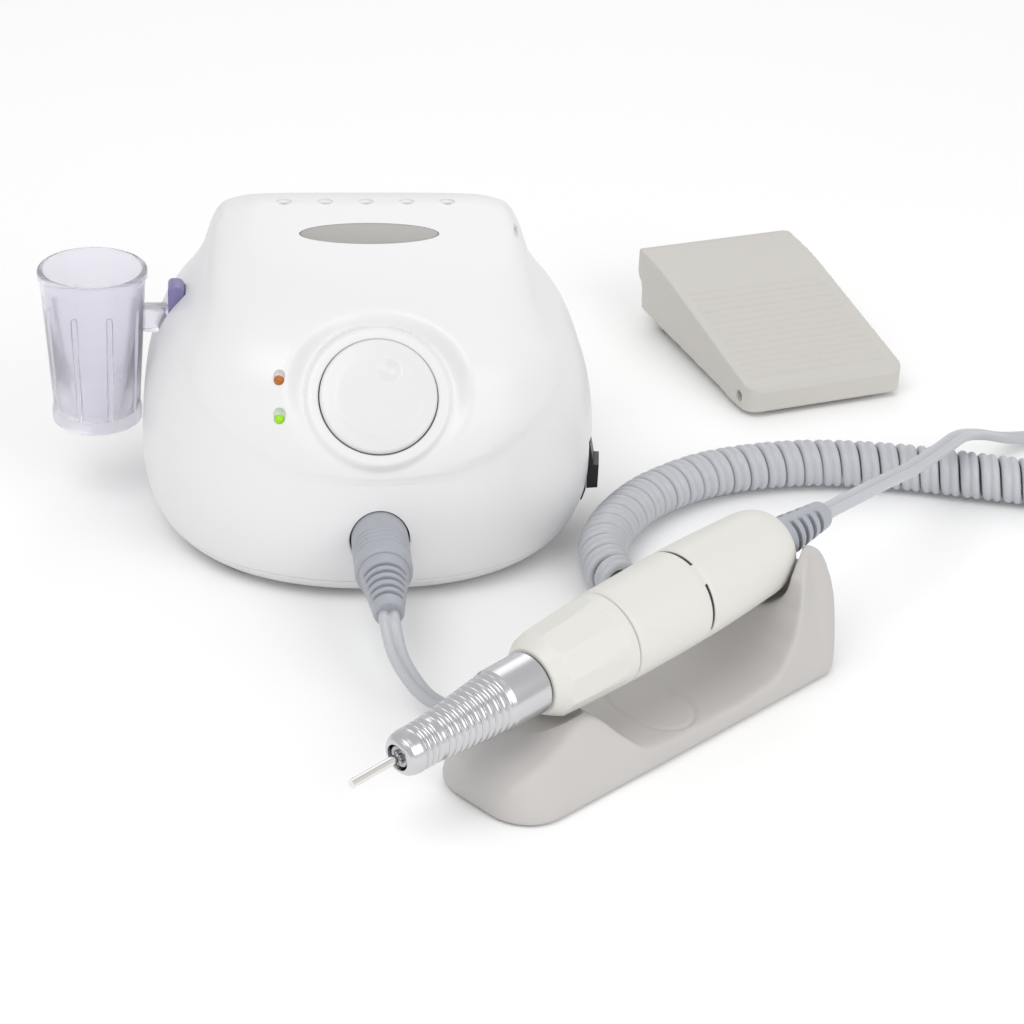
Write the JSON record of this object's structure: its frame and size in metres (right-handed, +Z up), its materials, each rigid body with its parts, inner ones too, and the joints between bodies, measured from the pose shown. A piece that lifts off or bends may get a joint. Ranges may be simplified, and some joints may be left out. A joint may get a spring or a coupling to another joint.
{
  "type": "dental lab micromotor",
  "caption": "Dental lab micromotor set: rounded control box with speed knob and cup holder, straight handpiece on its rest, foot pedal and curly handpiece cord.",
  "frame": {"origin": "on the bench surface under the middle of the set, cords left out", "axes": "+X to the right along the control box front, +Y to its back, +Z up"},
  "size_m": [0.3537, 0.354, 0.0898],
  "materials": {
    "white_shell": "semi-gloss moulded",
    "ivory_plastic": "satin moulded",
    "bone_plastic": "satin moulded",
    "grey_cord": "soft satin",
    "rest_rubber": "matt",
    "black_plastic": "satin",
    "black_rubber": "matt",
    "clear_cup": "clear tinted moulding",
    "clip_purple": "gloss",
    "badge_grey": "satin",
    "amber_lens": "clear lens",
    "green_lens": "clear lens",
    "nose_aluminium": "turned",
    "steel": "ground",
    "iron": "laminated",
    "board": "solder mask",
    "copper": "varnished winding",
    "phenolic": "moulded",
    "red_plastic": "moulded"
  },
  "bodies": {
    "set": {"housing": "white_shell", "base": "white_shell", "box_feet": "black_rubber", "emblem": "badge_grey", "bur_rack": "white_shell", "speed_control": "steel", "led_amber": "amber_lens", "led_green": "green_lens", "jack": "black_plastic", "power_frame": "black_plastic", "transformer": "iron", "circuit_board": "board", "rear_panel": "white_shell", "mains_inlet": "black_plastic", "fuse_holder": "black_plastic", "pedal_jack": "black_plastic", "box_screws": "steel", "handpiece_rest": "rest_rubber", "plug": "grey_cord", "plug_boot": "grey_cord", "plug_lead": "grey_cord", "curly_cord": "grey_cord", "tail_lead": "grey_cord", "pedal_base": "bone_plastic", "pedal_spring": "steel", "pedal_switch": "black_plastic", "pedal_feet": "black_rubber", "pedal_gland": "black_plastic"},
    "knob": {"speed_knob": "white_shell", "knob_shaft": "steel"},
    "rocker": {"power_rocker": "black_plastic"},
    "cup": {"cup": "clear_cup", "cup_clip": "clip_purple"},
    "handpiece": {"nose_cone": "nose_aluminium", "motor_case": "ivory_plastic", "slit_ring": "black_plastic", "rear_cap": "ivory_plastic", "tail_boot": "grey_cord", "front_bearing": "steel", "inner_bearing": "steel", "middle_bearing": "steel", "rear_bearing": "steel", "magnets": "iron", "brush_holder": "phenolic", "brush_left": "black_plastic", "brush_right": "black_plastic"},
    "sleeve": {"lock_sleeve": "ivory_plastic"},
    "spindle": {"spindle": "steel", "coupling": "black_plastic", "armature": "copper"},
    "chuck": {"collet": "steel", "test_pin": "steel"},
    "treadle": {"treadle": "bone_plastic", "hinge_pin": "steel"},
    "plunger": {"switch_plunger": "red_plastic"}
  },
  "joints": [
    {"name": "knob_turn", "type": "hinge", "parent": "set", "child": "knob", "pos_m": [-0.0445, -0.0281, 0.0583], "axis": [0, -0.7547, 0.6561], "range_deg": [-125, 175]},
    {"name": "rocker_tilt", "type": "hinge", "parent": "set", "child": "rocker", "pos_m": [0.02052, 0.00131, 0.022], "axis": [0.1392, 0.9903, 0], "range_deg": [0, 16]},
    {"name": "cup_pull", "type": "slide", "parent": "set", "child": "cup", "axis": [-1, 0, 0], "range_m": [0, 0.04]},
    {"name": "handpiece_lift", "type": "slide", "parent": "set", "child": "handpiece", "axis": [-0.0546, -0.0434, 0.9976], "range_m": [0, 0.06], "deforming": ["tail_lead"]},
    {"name": "sleeve_twist", "type": "hinge", "parent": "handpiece", "child": "sleeve", "pos_m": [-0.00026, -0.12921, 0.03147], "axis": [0.7807, 0.621, 0.0698], "range_deg": [0, 84]},
    {"name": "spindle_spin", "type": "hinge", "parent": "handpiece", "child": "spindle", "pos_m": [-0.00026, -0.12921, 0.03147], "axis": [0.7807, 0.621, 0.0698], "continuous": true},
    {"name": "collet_open", "type": "slide", "parent": "spindle", "child": "chuck", "axis": [-0.7807, -0.621, -0.0698], "range_m": [0, 0.00101]},
    {"name": "treadle_press", "type": "hinge", "parent": "set", "child": "treadle", "pos_m": [0.11433, 0.08793, 0.0056], "axis": [-0.9563, -0.2924, 0], "range_deg": [0, 3], "stiffness_Nm_per_rad": 2, "springref_deg": -8.59, "deforming": ["pedal_spring"]},
    {"name": "plunger_drop", "type": "slide", "parent": "set", "child": "plunger", "axis": [0, 0, -1], "range_m": [0, 0.003]}
  ],
  "couplings": [
    {"joint": "sleeve_twist", "follows": "collet_open", "rad_per_m": 1389},
    {"joint": "plunger_drop", "follows": "treadle_press", "m_per_rad": 0.055}
  ]
}
